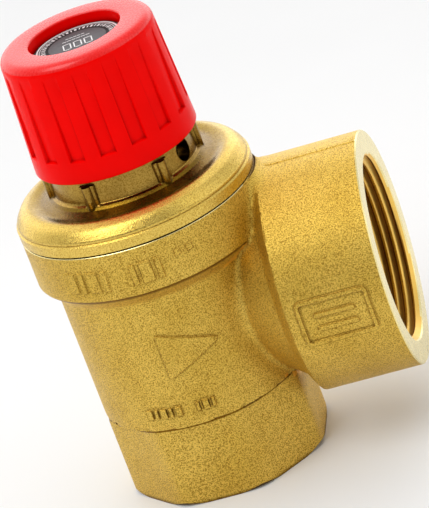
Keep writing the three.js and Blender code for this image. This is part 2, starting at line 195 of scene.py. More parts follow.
def from_middle(angle, first_deg, count):
    """Degrees from each angle to the nearest of count equal places, the first one given."""
    pitch = 360 / count
    return (np.degrees(angle) - first_deg + pitch / 2) % pitch - pitch / 2


def cut(piece, cutter):
    """Subtracts the cutter from the piece, deletes it and tidies the seam."""
    boolean = piece.modifiers.new("cut", "BOOLEAN")
    boolean.object = cutter
    boolean.solver = "EXACT"
    graph = bpy.context.evaluated_depsgraph_get()
    mesh = bpy.data.meshes.new_from_object(piece.evaluated_get(graph))
    piece.modifiers.clear()
    old = piece.data
    piece.data = mesh
    bpy.data.meshes.remove(old)
    bpy.data.objects.remove(cutter)
    work = bmesh.new()
    work.from_mesh(piece.data)
    bmesh.ops.remove_doubles(work, verts=work.verts, dist=1e-6)
    bmesh.ops.dissolve_degenerate(work, edges=work.edges, dist=1e-6)
    work.to_mesh(piece.data)
    work.free()


def place_at(piece, matrix):
    """Moves a piece's points by a matrix that counts from the spindle's axis."""
    home = Matrix.Translation((AXIS_X, 0, 0))
    piece.data.transform(home.inverted())
    piece.data.transform(home @ matrix)


# Distance functions and the mesh round them

# How strongly a cell's point is held at the middle of its crossings, where the planes allow
PULL_TO_MIDDLE = 0.08


def distance_to(outline, margin=6.0, pitch=0.12):
    """A function of (r, z) that gives the signed distance to a turned outline, inside negative."""
    mirrored = outline[::-1] * np.array([-1, 1])
    loop = np.concatenate([outline, mirrored])
    low = np.array([0.0, loop[:, 1].min() - margin])
    size = np.array([loop[:, 0].max() + margin, np.ptp(loop[:, 1]) + 2 * margin])
    count = np.ceil(size / pitch).astype(int) + 1
    r, z = np.meshgrid(low[0] + pitch * np.arange(count[0]), low[1] + pitch * np.arange(count[1]),
                       indexing="ij")
    nearest = np.full(r.shape, 1e9)
    inside = np.zeros(r.shape, dtype=bool)
    for (ar, az), (br, bz) in zip(loop, np.roll(loop, -1, axis=0)):
        length2 = (br - ar) ** 2 + (bz - az) ** 2
        if length2 < 1e-12:
            continue
        along = np.clip(((r - ar) * (br - ar) + (z - az) * (bz - az)) / length2, 0, 1)
        nearest = np.minimum(nearest, (r - ar - along * (br - ar)) ** 2
                             + (z - az - along * (bz - az)) ** 2)
        if az != bz:
            crosses = (az > z) != (bz > z)
            inside ^= crosses & (r < ar + (z - az) * (br - ar) / (bz - az))
    table = np.where(inside, -1, 1) * np.sqrt(nearest)

    def look_up(radius, height):
        u = np.clip((radius - low[0]) / pitch, 0, count[0] - 1.001)
        v = np.clip((height - low[1]) / pitch, 0, count[1] - 1.001)
        i, j = u.astype(int), v.astype(int)
        s, t = u - i, v - j
        return ((table[i, j] * (1 - s) + table[i + 1, j] * s) * (1 - t)
                + (table[i, j + 1] * (1 - s) + table[i + 1, j + 1] * s) * t)

    return look_up


def joined(a, b, fillet):
    """The union of two distances, with a fillet of about the given radius."""
    share = np.clip(0.5 + 0.5 * (b - a) / fillet, 0, 1)
    return b + (a - b) * share - fillet * share * (1 - share)


def contour(name, distance, low, high, step):
    """A mesh of the surface where the distance is 0, with its sharp edges kept."""
    axes = [np.arange(a, b + step, step) for a, b in zip(low, high)]
    shape = [len(axis) for axis in axes]
    values = distance(*np.meshgrid(*axes, indexing="ij"))
    inside = values < 0
    cells = np.array(shape) - 1
    strides = np.array([cells[1] * cells[2], cells[2], 1])
    sums = []
    quads = []
    for axis in range(3):
        first = [slice(None)] * 3
        second = [slice(None)] * 3
        first[axis] = slice(0, -1)
        second[axis] = slice(1, None)
        crossed = np.argwhere(inside[tuple(first)] != inside[tuple(second)])
        others = [k for k in range(3) if k != axis]
        within = np.all((crossed[:, others] > 0) & (crossed[:, others] < cells[others]), axis=1)
        crossed = crossed[within]
        ahead = crossed.copy()
        ahead[:, axis] += 1
        va = values[tuple(crossed.T)]
        vb = values[tuple(ahead.T)]
        points = np.array(low) + crossed * step
        points[:, axis] += step * va / (va - vb)
        normals = slope(distance, points, step * 0.1)
        around = []
        for da, db in ((0, 0), (1, 0), (1, 1), (0, 1)):
            cell = crossed.copy()
            cell[:, others[0]] -= da
            cell[:, others[1]] -= db
            around.append(cell @ strides)
        outward = inside[tuple(crossed.T)] == (axis != 1)
        ring = np.stack(around, axis=1)
        quads.append(np.where(outward[:, None], ring, ring[:, ::-1]))
        for cell in around:
            sums.append((cell, points, normals))
    return net(name, sums, np.concatenate(quads), np.array(low), cells, step)


def slope(distance, points, reach):
    """Unit vectors along which the distance grows."""
    out = np.empty_like(points)
    for axis, aside in enumerate(np.eye(3) * reach):
        out[:, axis] = distance(*(points + aside).T) - distance(*(points - aside).T)
    return out / np.maximum(np.linalg.norm(out, axis=1, keepdims=True), 1e-9)


def net(name, sums, quads, low, cells, step):
    """One point in each cell, where the planes through its crossed edges meet best."""
    cell = np.concatenate([s[0] for s in sums])
    points = np.concatenate([s[1] for s in sums])
    normals = np.concatenate([s[2] for s in sums])
    used, slot = np.unique(cell, return_inverse=True)
    total = np.bincount(slot).astype(float)

    def summed(column):
        return np.bincount(slot, weights=column, minlength=len(used))

    middle = np.stack([summed(points[:, k]) for k in range(3)], axis=1) / total[:, None]
    offset = np.sum(normals * (points - middle[slot]), axis=1)
    matrix = np.empty((len(used), 3, 3))
    for i in range(3):
        for j in range(i, 3):
            matrix[:, i, j] = matrix[:, j, i] = summed(normals[:, i] * normals[:, j])
    matrix += np.eye(3) * PULL_TO_MIDDLE
    right = np.stack([summed(normals[:, k] * offset) for k in range(3)], axis=1)
    place = middle + np.linalg.solve(matrix, right[:, :, None])[:, :, 0]
    row = used // cells[2]
    corner = low + step * np.stack([row // cells[1], row % cells[1], used % cells[2]], axis=1)
    place = np.clip(place, corner, corner + step)
    return new_piece(name, place, np.searchsorted(used, quads).tolist())


# Materials

# The painted shadow on the flats under the barrel's edge falls by this much for each step outwards
UNDER_EDGE_SHADOW_SLOPE = 0.42
# Creases narrower than these get painted shade, in metres
CREASE_REACH = 1.6 * MM
FINE_CREASE_REACH = 1.0 * MM
# The bonnet's dish is bright outside the first radius and darkened with painted shade inside the second
DISH_EDGE_R = 27.5
DISH_R = 20.0
WHITE = (1.0, 1.0, 1.0)


def material(name, **values):
    """A material whose Principled shader has the given socket values."""
    made = bpy.data.materials.new(name)
    made.use_nodes = True
    shader = made.node_tree.nodes["Principled BSDF"]
    for socket, value in values.items():
        shader.inputs[socket.replace("_", " ")].default_value = value
    return made, made.node_tree, shader


def add_node(tree, kind, inputs, output=0, **settings):
    """Adds a node and gives one of its outputs; an input is a value or another node's output."""
    made = tree.nodes.new("ShaderNode" + kind)
    for name, value in settings.items():
        setattr(made, name, value)
    for socket, value in inputs.items():
        if isinstance(value, bpy.types.NodeSocket):
            tree.links.new(value, made.inputs[socket])
        else:
            made.inputs[socket].default_value = value
    return made.outputs[output]


def math_node(tree, operation, *inputs):
    """A math node over values and other nodes' outputs."""
    return add_node(tree, "Math", dict(enumerate(inputs)), operation=operation)


def dot(tree, source, direction):
    """The dot product of a source and a fixed direction."""
    return add_node(tree, "VectorMath", {0: source, 1: direction}, "Value", operation="DOT_PRODUCT")


def noise(tree, scale, detail=3.0, roughness=0.55):
    """Noise in object space, with the scale in cells per metre."""
    place = add_node(tree, "TexCoord", {}, "Object")
    inputs = {"Vector": place, "Scale": scale, "Detail": detail, "Roughness": roughness}
    return add_node(tree, "TexNoise", inputs, "Fac")


def ramp(tree, source, stops):
    """A colour ramp over the source, with (place, colour) stops."""
    colours = add_node(tree, "ValToRGB", {"Fac": source}, "Color")
    elements = colours.node.color_ramp.elements
    while len(elements) < len(stops):
        elements.new(0.5)
    for element, (place, colour) in zip(elements, stops):
        element.position = place
        element.color = (*colour, 1)
    return colours


def spread(tree, source, low, high):
    """Maps 0.3..0.7 of a noise to a range of values."""
    inputs = {"Value": source, "From Min": 0.3, "From Max": 0.7, "To Min": low, "To Max": high}
    return add_node(tree, "MapRange", inputs, "Result")


def rising(tree, source, low, high):
    """0 where the source is at low, 1 where it is at high (in mm) and a smooth step between."""
    inputs = {"Value": source, "From Min": low * MM, "From Max": high * MM}
    return add_node(tree, "MapRange", inputs, "Result", interpolation_type="SMOOTHSTEP")


def bump(tree, shader, height, strength, distance):
    """Bumps the shader's surface by a height, with the distance in metres."""
    inputs = {"Height": height, "Strength": strength, "Distance": distance}
    tree.links.new(add_node(tree, "Bump", inputs, "Normal"), shader.inputs["Normal"])


def multiplied(tree, a, b):
    """The product of two colours."""
    return add_node(tree, "Mix", {"Factor": 1.0, 6: a, 7: b}, 2, data_type="RGBA", blend_type="MULTIPLY")


def shade_in_creases(tree, colour, crease_shade, reach):
    """The colour with painted shade in creases that are narrower than the reach in metres."""
    openness = add_node(tree, "AmbientOcclusion", {"Distance": reach}, "AO", samples=8)
    return multiplied(tree, colour, ramp(tree, openness, [(0.5, crease_shade), (0.88, WHITE)]))


def off_axis(tree):
    """The distance from the spindle's axis and the height, in metres."""
    place = add_node(tree, "TexCoord", {}, "Object")
    flat = add_node(tree, "VectorMath", {0: place, 1: (1, 1, 0), 2: (-AXIS_X, 0, 0)},
                    operation="MULTIPLY_ADD")
    radius = add_node(tree, "VectorMath", {0: flat}, "Value", operation="LENGTH")
    return radius, add_node(tree, "SeparateXYZ", {0: place}, "Z")


def painted_shadow_under_edges(tree):
    """Where shadow is painted: 1 on the flats just under the barrel's edge and just under the collar,
    and 0 elsewhere.
    """
    radius, height = off_axis(tree)
    slant = math_node(tree, "MULTIPLY_ADD", radius, -UNDER_EDGE_SHADOW_SLOPE, height)
    edge = BOSS_TOP_Z - UNDER_EDGE_SHADOW_SLOPE * BARREL_R
    near = rising(tree, slant, edge - 0.5, edge - 0.3)
    below = rising(tree, height, BOSS_TOP_Z + 0.1, BOSS_TOP_Z)
    under_barrel = math_node(tree, "MULTIPLY", near, below)
    near = rising(tree, height, COLLAR_LOW_Z - 1.5, COLLAR_LOW_Z - 0.4)
    below = rising(tree, height, COLLAR_LOW_Z + 0.1, COLLAR_LOW_Z - 0.1)
    within = rising(tree, radius, COLLAR_R + 0.1, COLLAR_R - 0.1)
    under_collar = math_node(tree, "MULTIPLY", math_node(tree, "MULTIPLY", near, below), within)
    return math_node(tree, "MAXIMUM", under_barrel, under_collar)


def forged_brass(name, grain, depth, low, high, tone, specks, dish_shade=None):
    """Shot-blasted brass: grain in cells per metre, its depth in metres, a roughness range."""
    made, tree, shader = material(name, Metallic=1.0)
    fine = noise(tree, grain, 2.0)
    patches = ramp(tree, noise(tree, 70, 2.0), [(0.32, tone[0]), (0.68, tone[1])])
    colour = multiplied(tree, patches, ramp(tree, fine, [(0.38, specks), (0.55, WHITE)]))
    # Painted shade in the bonnet's dish round the neck, under the knob
    if dish_shade:
        dish = rising(tree, off_axis(tree)[0], DISH_EDGE_R, DISH_R)
        painted_dish_shade = ramp(tree, dish, [
            (0.02, WHITE), (0.18, [0.4 + 0.6 * c for c in dish_shade]), (0.8, dish_shade)])
        colour = multiplied(tree, colour, painted_dish_shade)
    # Painted shadow on the flats under the barrel's edge and under the collar
    painted_shadow = ramp(tree, painted_shadow_under_edges(tree), [(0.0, WHITE), (1.0, (0.34, 0.25, 0.12))])
    # Painted shade in the creases
    colour = shade_in_creases(tree, multiplied(tree, colour, painted_shadow), (0.2, 0.13, 0.06), CREASE_REACH)
    tree.links.new(colour, shader.inputs["Base Color"])
    tree.links.new(spread(tree, noise(tree, 500), low, high), shader.inputs["Roughness"])
    bump(tree, shader, fine, 1.0, depth)
    return made


def smooth_finish(tree, shader, tint, grain, detail, low, high, strength, depth):
    """Gives the shader its colour, a fine grain and a roughness range."""
    tree.links.new(tint, shader.inputs["Base Color"])
    fine = noise(tree, grain, detail)
    tree.links.new(spread(tree, fine, low, high), shader.inputs["Roughness"])
    bump(tree, shader, fine, strength, depth)


def turned_metal(name, colour, low, high, depth=0.00002, crease_shade=None):
    """Turned metal with fine tool marks, and painted shade in its creases if a colour for that is given.
    """
    made, tree, shader = material(name, Metallic=1.0)
    tint = ramp(tree, noise(tree, 150), [(0.35, [c * 0.9 for c in colour]), (0.7, colour)])
    if crease_shade:
        tint = shade_in_creases(tree, tint, crease_shade, FINE_CREASE_REACH)
    smooth_finish(tree, shader, tint, 900, 4.0, low, high, 0.3, depth)
    return made


def moulded(name, colour, low, high, depth=0.00001, gloss=0.3, crease_shade=None):
    """Moulded plastic or rubber, with a faint skin texture, and painted shade in its creases if a colour
    for that is given.
    """
    made, tree, shader = material(name, Specular_IOR_Level=gloss)
    tint = ramp(tree, noise(tree, 120), [(0.3, [c * 0.93 for c in colour]), (0.7, colour)])
    if crease_shade:
        tint = shade_in_creases(tree, tint, crease_shade, CREASE_REACH)
    smooth_finish(tree, shader, tint, 1500, 3.0, low, high, 0.25, depth)
    return made


FORGED = forged_brass("forged_brass_body", 3900, 0.00015, 0.38, 0.5,
                      [(0.76, 0.51, 0.085), (0.86, 0.60, 0.12)], (0.41, 0.33, 0.2))
# The bonnet's brass, with painted shade in its dish
TUMBLED = forged_brass("forged_brass_bonnet", 3900, 0.00006, 0.22, 0.32,
                       [(0.76, 0.54, 0.11), (0.84, 0.60, 0.14)], (0.62, 0.54, 0.38),
                       dish_shade=(0.29, 0.235, 0.10))
# The neck's polished brass has a much darker tone than the rest of the bonnet: painted shade under the
# knob
NECK = forged_brass("forged_brass_neck", 3000, 0.00003, 0.14, 0.24,
                    [(0.28, 0.165, 0.03), (0.46, 0.29, 0.06)], (0.6, 0.52, 0.36))
FACED = turned_metal("turned_brass_face", (0.95, 0.82, 0.40), 0.24, 0.3, depth=0.000006)
# Painted shade in the roots of the thread
THREADED = turned_metal("turned_brass_thread", (0.94, 0.60, 0.13), 0.36, 0.46,
                        crease_shade=(0.72, 0.5, 0.26))
BRASS = turned_metal("turned_brass_inner", (0.86, 0.66, 0.27), 0.2, 0.32)
ZINC = turned_metal("zinc_steel", (0.66, 0.68, 0.70), 0.25, 0.4)
SPRING_STEEL = turned_metal("spring_steel", (0.45, 0.46, 0.48), 0.22, 0.32)
# Painted shade in the creases of the flutes
RED = moulded("red_plastic", (0.98, 0.0012, 0.0005), 0.2, 0.26, gloss=0.035,
              crease_shade=(0.55, 0.4, 0.4))
# A copy of the red plastic for the top face, glossier and a little pinker than the sides: a painted
# sheen
RED_TOP = moulded("red_plastic_top", (0.90, 0.006, 0.004), 0.24, 0.3, gloss=0.45)
RUBBER = moulded("black_rubber", (0.018, 0.018, 0.019), 0.6, 0.75, 0.00003)
SLIPPERY = moulded("white_plastic", (0.75, 0.75, 0.71), 0.4, 0.5)
PRINT_WHITE = moulded("print_white", (0.80, 0.80, 0.80), 0.3, 0.4)
PRINT_BLACK = moulded("print_black", (0.012, 0.012, 0.013), 0.5, 0.6, gloss=0.1)
PRINT_GREY = turned_metal("print_grey", (0.10, 0.10, 0.105), 0.45, 0.55)


def finish(piece, body, node, slot, *materials):
    """Gives a piece its materials and its body, and hides the CAD part that it stands for; the slot is
    not used.
    """
    for made in materials:
        piece.data.materials.append(made)
    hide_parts(node)
    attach(piece, body)


# The body: a forging, with the machined ends and bores cut into it

BODY_STEP = 0.86
END_STOCK = 3.0
OUTLET_FILLET = 1.9
FILLET_GROWTH = 2.4
FLATS_EDGE = 1.0
BARREL_CORNER = 0.12

BARREL = distance_to(rounded([
    (0, BOSS_TOP_Z), (BARREL_R, BOSS_TOP_Z), (BARREL_R, 57.6, 2.4),
    (COLLAR_R, COLLAR_LOW_Z, 0.6), (COLLAR_R, BODY_TOP_Z + END_STOCK), (0, BODY_TOP_Z + END_STOCK),
]))
BOSS = distance_to(rounded([
    (0, -END_STOCK), (BOSS_CORNER_R, -END_STOCK), (BOSS_CORNER_R, BOSS_TOP_Z + 2),
    (0, BOSS_TOP_Z + 2),
]))
OUTLET = distance_to(rounded([
    (0, 0), (18.6, 0), (18.9, 20, 3), (25.6, 28.7, 3), (OUTLET_BOSS_R, OUTLET_BACK_X, 0.9),
    (OUTLET_BOSS_R, OUTLET_FACE_X + END_STOCK), (0, OUTLET_FACE_X + END_STOCK),
]))


def forging_distance(x, y, z):
    """The barrel, the outlet boss that widens away from it, and the octagon below."""
    radius = np.hypot(x, y)
    across = np.hypot(y, z - OUTLET_Z)
    fillet = OUTLET_FILLET + FILLET_GROWTH * step_between(z, 61, 67)
    solid = joined(BARREL(radius, z), OUTLET(across, x), fillet)
    octagon = np.full(np.shape(x), -1e3)
    for k in range(4):
        side = math.radians(45 * k)
        octagon = np.maximum(octagon, np.abs(x * math.cos(side) + y * math.sin(side)))
    flats = np.maximum(octagon - ACROSS_FLATS / 2, z - BOSS_TOP_Z)
    boss = -joined(-flats, -BOSS(radius, z), FLATS_EDGE)
    return joined(solid, boss, BARREL_CORNER)


# Raised marks, as strokes in millimetres round a surface and up it

GUTTER_DEPTH = 0.08
GUTTER_STARTS = (0.0, 0.16)
GUTTER_ENDS = (0.26, 0.5)
MARK_FLANK = (-0.16, 0.06)
# Marks lie in front of this plane, and this near to the surface that they stand on
FRONT_Y = 1.5
MARK_REACH = 1.0
FAR = 99.0


def marks(about_outlet, base, middle_deg, middle, half_width, height, strokes, filled=False):
    """Raised strokes, or a filled shape, on a round surface: its from_edge and raised functions."""
    def from_edge(x, y, z):
        """Distance along the surface to the nearest stroke's edge, inside negative."""
        if about_outlet:
            reach, turn, along = np.hypot(y, z - OUTLET_Z), np.arctan2(z - OUTLET_Z, -y), x
        else:
            reach, turn, along = np.hypot(x, y), np.arctan2(y, x), z
        u = (turn - math.radians(middle_deg)) * base
        v = along - middle
        if about_outlet:
            u, v = v, u
        nearest = np.full(np.shape(x), FAR)
        inside = np.zeros(np.shape(x), dtype=bool)
        for (ua, va), (ub, vb) in strokes:
            du, dv = ub - ua, vb - va
            share = np.clip(((u - ua) * du + (v - va) * dv) / (du * du + dv * dv), 0, 1)
            nearest = np.minimum(nearest, np.hypot(u - ua - share * du, v - va - share * dv))
            if filled and dv:
                inside ^= ((va > v) != (vb > v)) & (u < ua + (v - va) * du / dv)
        away = np.where(inside, -nearest, nearest) - half_width
        return np.where((np.abs(reach - base) < MARK_REACH) & (y < FRONT_Y), away, FAR)

    def raised(x, y, z):
        """The height above the surface, with a shallow gutter round the foot of each mark."""
        away = from_edge(x, y, z)
        gutter = step_between(away, *GUTTER_STARTS) * (1 - step_between(away, *GUTTER_ENDS))
        return height * (1 - step_between(away, *MARK_FLANK)) - GUTTER_DEPTH * gutter

    return from_edge, raised


def loop(points):
    """The edges of a closed ring of points."""
    return list(zip(points, points[1:] + points[:1]))


def blocks(low, high, spans):
    """The edges of upright rectangles between two heights."""
    return [edge for a, b in spans for edge in loop([(a, low), (b, low), (b, high), (a, high)])]


ARROW = marks(False, BARREL_R, -91.5, 42.1, 0.5, 0.4, loop([
    (-0.5, 5.5), (13.1, 0.3), (-0.5, -5.6),
]), filled=True)
SIZE_BARS = marks(False, COLLAR_R, -92.0, 66.7, 0.12, 0.29, blocks(-2.6, 2.6, [
    (-17.4, -14.6), (-13.4, -12.2), (-11.0, -8.2), (-7.0, -5.8), (0.6, 1.8), (3.0, 5.8), (7.0, 8.2),
]) + blocks(1.3, 2.6, [(12.2, 13.6), (15.4, 16.8)]), filled=True)
DATE_BARS = marks(False, BARREL_R, -92.0, 27.0, 0.12, 0.45, blocks(-1.2, 1.2, [
    (-10.2, -8.8), (-7.9, -7.2), (-6.3, -4.9), (-4.0, -3.3), (-2.4, -1.0),
    (3.0, 3.7), (4.6, 6.0), (6.9, 7.6),
]), filled=True)
PAD_FRAME = marks(True, OUTLET_BOSS_R, -1.3, 42.9, 0.55, 0.45, loop([
    (-8.6, -5.0), (-8.0, -5.6), (8.0, -5.6), (8.6, -5.0),
    (8.6, 5.0), (8.0, 5.6), (-8.0, 5.6), (-8.6, 5.0),
]))
PAD_BARS = marks(True, OUTLET_BOSS_R, -1.3, 42.9, 0.6, 0.45, [
    ((-4.6, v), (4.6, v)) for v in (-1.8, 1.8)
])
SEAM = marks(True, OUTLET_BOSS_R, 90.0, 44.0, 0.45, 0.14, [((-10.5, 0), (12.5, 0))])
ALL_MARKS = (ARROW, SIZE_BARS, DATE_BARS, PAD_FRAME, PAD_BARS, SEAM)
REFINED_BANDS = (1.2, 0.6, 0.24)


def emboss(piece):
    """Refines the mesh in steps along the edges of the marks, and raises the marks."""
    work = bmesh.new()
    work.from_mesh(piece.data)
    for band in REFINED_BANDS:
        places = places_of(work)
        nearest = np.min([np.abs(from_edge(*places)) for from_edge, raised in ALL_MARKS], axis=0)
        near = {vert for vert, away in zip(work.verts, nearest) if away < band}
        edges = {edge for vert in near for face in vert.link_faces for edge in face.edges}
        bmesh.ops.subdivide_edges(work, edges=list(edges), cuts=1, use_grid_fill=True)
    work.normal_update()
    places = places_of(work)
    heights = np.sum([raised(*places) for from_edge, raised in ALL_MARKS], axis=0)
    for vert, height in zip(work.verts, heights):
        if height:
            vert.co += vert.normal * float(height) * MM
    bmesh.ops.triangulate(work, faces=[face for face in work.faces if len(face.verts) > 4])
    work.to_mesh(piece.data)
    work.free()


def places_of(work):
    """The x, y and z of a bmesh's points in millimetres from the spindle's axis."""
    places = np.array([vert.co for vert in work.verts]) / MM
    places[:, 0] -= AXIS_X / MM
    return places.T


# Cutters: each is one turned solid that holds a pipe thread

THREAD_COLUMNS = 128
ROWS_PER_PITCH = 8
THREAD_RUN_OUT = 2.0
INLET_MOUTH_R = 21.2
OUTLET_MOUTH_R = 24.15
# The facing cuts reach out to this radius, and begin this far outside the finished faces
FACING_R = 38.0
FACING_OUT = 6.0


def thread_cutter(name, before, after, minor, mouth):
    """A solid turned about Z whose wall, between two outlines, is a thread and its mouth chamfer."""
    start, end = before[-1][1], after[0][1]
    rows = math.ceil((end - start) / THREAD_PITCH * ROWS_PER_PITCH) + ROWS_PER_PITCH + 1
    turn = np.arange(THREAD_COLUMNS + 1) / THREAD_COLUMNS
    height = start + THREAD_PITCH * (np.arange(rows)[:, None] / ROWS_PER_PITCH - 1 + turn[None, :])
    phase = ((height - start) / THREAD_PITCH - turn[None, :]) % 1
    height = np.clip(height, start, end)
    run_out = step_between(end - height, 0, THREAD_RUN_OUT)
    depth = THREAD_HEIGHT * (0.5 - 0.5 * np.cos(2 * np.pi * phase)) * run_out
    radius = np.maximum(minor + depth, mouth - (height - start))
    angle = 2 * np.pi * turn
    wall = np.stack([radius * np.cos(angle), radius * np.sin(angle), height], axis=-1)
    parts = [(wall, False)]
    around = 2 * np.pi * np.arange(THREAD_COLUMNS) / THREAD_COLUMNS
    for outline in (before, after):
        outline = np.array(outline, dtype=float)
        parts.append((np.stack([outline[:, :1] * np.cos(around), outline[:, :1] * np.sin(around),
                                np.repeat(outline[:, 1:], THREAD_COLUMNS, axis=1)], axis=-1), True))
    points = []
    faces = []
    total = 0
    for grid, closed in parts:
        index = total + np.arange(grid[..., 0].size).reshape(grid.shape[:2])
        if closed:
            index = np.concatenate([index, index[:, :1]], axis=1)
        quads = np.stack([index[:-1, :-1], index[:-1, 1:], index[1:, 1:], index[1:, :-1]], axis=-1)
        faces += quads.reshape(-1, 4).tolist()
        points.append(grid.reshape(-1, 3))
        total += grid[..., 0].size
    return new_piece(name, np.concatenate(points), faces)


def upright_cutter():
    """Everything about the spindle's axis that is machined away: face, thread, bores and top."""
    before = rounded([
        (0, -FACING_OUT), (FACING_R, -FACING_OUT), (29, 3.4), (BOSS_CORNER_R - 1.35, 0, 0.3),
        (INLET_MOUTH_R, 0),
    ])
    after = rounded([
        (INLET_MINOR_R, 17.0), (INLET_MINOR_R, INLET_DEPTH, 0.3), (13.5, INLET_DEPTH + 2.5, 1),
        (13.5, SEAT_Z - 0.5), (14, SEAT_Z, 0.2), (15.8, SEAT_Z, 0.3), (17, SEAT_Z - 2, 0.5), (17, 25, 1),
        (CHAMBER_R, 25, 1.5), (CHAMBER_R, LEDGE_Z, 0.2), (COLLAR_BORE_R, LEDGE_Z, 0.2),
        (COLLAR_BORE_R, BODY_TOP_Z - 0.4), (COLLAR_BORE_R + 0.4, BODY_TOP_Z), (28.6, BODY_TOP_Z),
        (28.6, BODY_TOP_Z - 0.8), (29.75, BODY_TOP_Z - 0.8), (29.9, BODY_TOP_Z),
        (COLLAR_R - 0.12, BODY_TOP_Z), (COLLAR_R + 0.2, BODY_TOP_Z - 0.32),
        (COLLAR_R + 0.6, BODY_TOP_Z), (FACING_R, BODY_TOP_Z),
        (FACING_R, BODY_TOP_Z + FACING_OUT), (0, BODY_TOP_Z + FACING_OUT),
    ])
    return thread_cutter("upright_cutter", before, after, INLET_MINOR_R, INLET_MOUTH_R)


def outlet_cutter():
    """The outlet's face, thread, socket and port, from the face inwards; turned about +X."""
    before = rounded([
        (0, -FACING_OUT), (FACING_R, -FACING_OUT), (FACING_R, -END_STOCK), (OUTLET_BOSS_R + 1.7, 2),
        (OUTLET_BOSS_R - 0.3, 0), (OUTLET_MOUTH_R, 0),
    ])
    back = OUTLET_FACE_X - SOCKET_BACK_X
    after = rounded([
        (OUTLET_MINOR_R, back - 3.4), (24.1, back - 2.4, 0.2), (24.1, back, 0.4),
        (OUTLET_PORT_R, back + 1.5, 0.5),
        (OUTLET_PORT_R, OUTLET_FACE_X - 18.5), (0, OUTLET_FACE_X - 18.5),
    ])
    cutter = thread_cutter("outlet_cutter", before, after, OUTLET_MINOR_R, OUTLET_MOUTH_R)
    face_middle = Matrix.Translation((OUTLET_FACE_X * MM, 0, OUTLET_Z * MM))
    place_at(cutter, face_middle @ Matrix.Rotation(-math.pi / 2, 4, "Y"))
    return cutter


def paint_body(piece):
    """Gives the turned faces and the threads their own materials."""
    faces = piece.data.polygons
    centres, normals = np.empty((2, len(faces) * 3))
    faces.foreach_get("center", centres)
    faces.foreach_get("normal", normals)
    normals = normals.reshape(-1, 3)
    x, y, z = centres.reshape(-1, 3).T / MM
    x = x - AXIS_X / MM
    radius = np.hypot(x, y)
    across = np.hypot(y, z - OUTLET_Z)
    faced = (x > OUTLET_FACE_X - 0.34) | ((z > BODY_TOP_Z - 0.2) & (radius < COLLAR_R)) | (z < 0.1)
    outward = (normals[:, 1] * y + normals[:, 2] * (z - OUTLET_Z)) > 0.3 * across
    in_socket = (across < OUTLET_MOUTH_R + 0.25) & (x > 18) & ~outward & (normals[:, 0] > -0.3)
    in_bore = (radius < CHAMBER_R - 0.1) | ((radius < COLLAR_BORE_R + 0.2) & (z > LEDGE_Z - 0.2))
    in_bore &= z < BODY_TOP_Z - 0.3
    index = np.where(faced, 1, np.where(in_socket | in_bore, 2, 0))
    faces.foreach_set("material_index", index)


def make_body():
    """The forging with its marks, less the two cutters."""
    low = (-31.0, -31.0, -END_STOCK - 1)
    high = (OUTLET_FACE_X + END_STOCK + 1, 31.2, BODY_TOP_Z + END_STOCK + 1)
    piece = contour("valve_body", forging_distance, low, high, BODY_STEP)
    emboss(piece)
    cut(piece, upright_cutter())
    cut(piece, outlet_cutter())
    finish(piece, "housing", "body", "forged_brass", FORGED, FACED, THREADED)
    paint_body(piece)
    shade(piece, 30)


# The bonnet

RIB_SIDE_R = 19.0
RIB_CROWN_R = 18.9
RIB_HALF_WIDTH = 1.2
RIB_SIDE_DROP = 1.5
# The neck's finish, darkened with painted shade, is above this height and within this radius
NECK_LOW_Z = 81.35
NECK_OUTER_R = 20.4
VENT_LENGTH = 12.0


def make_bonnet():
    outline = rounded([
        (CHAMBER_R, 68.3, 0.3), (26.7, 68.3, 0.5), (26.7, 73.8), (RING_R - 0.2, 73.8), (RING_R, 74.0),
        (RING_R, RING_TOP_Z - 0.5), (RING_R - 0.55, RING_TOP_Z - 0.1), (RING_R - 0.45, RING_TOP_Z + 0.2),
        (29.75, 77.6, 0.6), (28.3, 79.6, 3.5), (25.4, 80.95, 2.4), (22.9, 79.95, 2.4), (20.0, 80.8, 0.4),
        (19.6, 81.2, 0.1), (19.3, 81.45, 0.1), (18.5, 81.9, 0.5), (18.15, 88.2, 1), (NECK_R, 90),
        (NECK_R, NECK_TOP_Z, 0.2), (SPRING_BORE_R, NECK_TOP_Z, 0.3), (SPRING_BORE_R, 79, 1),
        (19.5, 76.5, 1), (CHAMBER_R, 74, 1),
    ], steps=5)
    outline = with_rows(outline, [80.35, 80.45, RIB_TOP_Z - 0.06, RIB_TOP_Z + 0.06], NECK_R)
    piece = turned("valve_bonnet", outline, bonnet_angles(), ribs_and_ramps)
    cut(piece, vent_drill())
    finish(piece, "housing", "bonnet", "forged_brass", TUMBLED, NECK)
    for face in piece.data.polygons:
        away = math.hypot(face.center.x - AXIS_X, face.center.y)
        face.material_index = int(face.center.z > NECK_LOW_Z * MM and away < NECK_OUTER_R * MM)
    shade(piece, 32)


def bonnet_angles():
    """Close angles over the ribs and at the ends of the ramps, and wider ones between."""
    near = list(np.arange(-7.2, 7.3, 0.4)) + [-5.05, 5.05]
    between = list(np.arange(8.6, 52, 2.0))
    angles = [RIB_FIRST_DEG + 60 * i + s for i in range(RIB_COUNT) for s in near + between]
    return np.radians(np.unique(np.round(np.array(angles) % 360, 3)))


